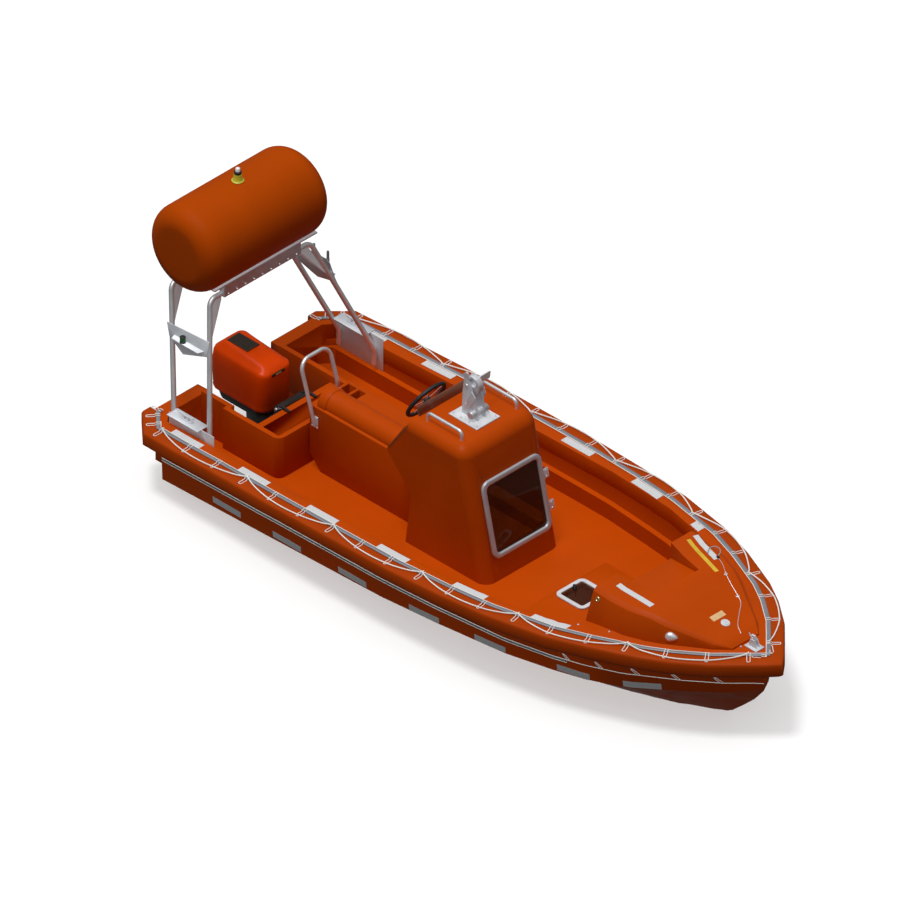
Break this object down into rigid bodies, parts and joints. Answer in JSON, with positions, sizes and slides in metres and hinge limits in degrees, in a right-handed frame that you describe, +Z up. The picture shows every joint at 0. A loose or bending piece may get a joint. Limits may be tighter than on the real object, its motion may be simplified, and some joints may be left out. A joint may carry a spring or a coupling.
{
  "type": "fast rescue boat",
  "caption": "Open rigid rescue boat with fender, centre console, straddle seat, lifting hook, outboard engine in a stern well and an arch with a self-righting bag container.",
  "frame": {"origin": "amidships on the centreline at the waterline", "axes": "+X towards the bow, +Y to port, +Z up"},
  "size_m": [6.809, 2.58, 3.3963],
  "materials": {
    "hull_orange": "satin glass-reinforced plastic",
    "deck_orange": "satin glass-reinforced plastic",
    "fender_orange": "satin skinned foam",
    "engine_red": "gloss paint",
    "metal": "satin stainless steel",
    "plate_metal": "satin",
    "black_rubber": "matte",
    "engine_black": "satin paint",
    "tinted_pane": "tinted, dark",
    "light_plastic": "satin",
    "base_metal": "satin stainless steel",
    "beacon_base": "gloss",
    "lamp_green": "gloss",
    "lamp_red": "gloss"
  },
  "bodies": {
    "boat": {"arch_post_aft_port": "metal", "arch_post_aft_starboard": "metal", "arch_post_fore_port": "metal", "arch_post_fore_starboard": "metal", "beacon": "beacon_base", "canister": "hull_orange", "clamp_bracket": "engine_black", "console": "deck_orange", "cradle": "plate_metal", "deck": "deck_orange", "door_hinge_high": "metal", "door_hinge_low": "metal", "engine_well": "deck_orange", "fender": "fender_orange", "floor_panel": "deck_orange", "foot_plate_port": "plate_metal", "foot_plate_starboard": "plate_metal", "foredeck": "deck_orange", "grab_hoop": "metal", "gunwale_rail": "metal", "handrail_port": "metal", "handrail_starboard": "metal", "hatch_frame": "light_plastic", "hook_base": "base_metal", "hook_lever": "metal", "hoop_pad_port": "metal", "hoop_pad_starboard": "metal", "hull": "hull_orange", "hull_top": "hull_orange", "painter_base": "plate_metal", "seat": "deck_orange", "seat_pedestal": "deck_orange", "side_bracket_port": "plate_metal", "side_bracket_starboard": "plate_metal", "side_lamp_port": "lamp_red", "side_lamp_starboard": "lamp_green", "steering_column": "engine_black", "windscreen": "tinted_pane"},
    "engine_tilt_body": {"swivel_bracket": "engine_black"},
    "engine_steer_body": {"cowl": "engine_red", "lower_pan": "engine_black", "leg": "engine_black"},
    "propeller_body": {"propeller": "metal"},
    "wheel_body": {"steering_wheel": "black_rubber"},
    "door_body": {"door_frame": "metal", "door_pane": "tinted_pane"},
    "hatch_body": {"hatch_lid": "tinted_pane", "hatch_latch": "black_rubber"},
    "lifting_hook_body": {"lifting_hook": "metal"},
    "painter_hook_body": {"painter_hook": "metal"}
  },
  "joints": [
    {"name": "engine_tilt", "type": "hinge", "parent": "boat", "child": "engine_tilt_body", "pos_m": [-2.54, 0, 0.575], "axis": [0, 1, 0], "range_deg": [0, 60]},
    {"name": "engine_steer", "type": "hinge", "parent": "engine_tilt_body", "child": "engine_steer_body", "pos_m": [-2.67, 0, 0.205], "axis": [0, 0, 1], "range_deg": [-25, 25]},
    {"name": "propeller_turn", "type": "hinge", "parent": "engine_steer_body", "child": "propeller_body", "pos_m": [-3.205, 0, -0.525], "axis": [1, 0, 0], "continuous": true},
    {"name": "wheel_turn", "type": "hinge", "parent": "boat", "child": "wheel_body", "pos_m": [-0.94, 0, 1.395], "axis": [-0.8829, 0, 0.4695], "range_deg": [-540, 540]},
    {"name": "console_door", "type": "hinge", "parent": "boat", "child": "door_body", "pos_m": [0.14473, 0.376, 0.63893], "axis": [-0.2186, 0, 0.9758], "range_deg": [0, 105]},
    {"name": "hatch", "type": "hinge", "parent": "boat", "child": "hatch_body", "pos_m": [1.017, 0.01, 0.329], "axis": [0, 1, 0], "range_deg": [0, 100]},
    {"name": "lifting_hook_turn", "type": "hinge", "parent": "boat", "child": "lifting_hook_body", "pos_m": [-0.415, 0, 1.825], "axis": [0, 1, 0], "range_deg": [0, 60]},
    {"name": "painter_hook_turn", "type": "hinge", "parent": "boat", "child": "painter_hook_body", "pos_m": [2.925, 0, 0.844], "axis": [0, 1, 0], "range_deg": [0, 60]}
  ]
}
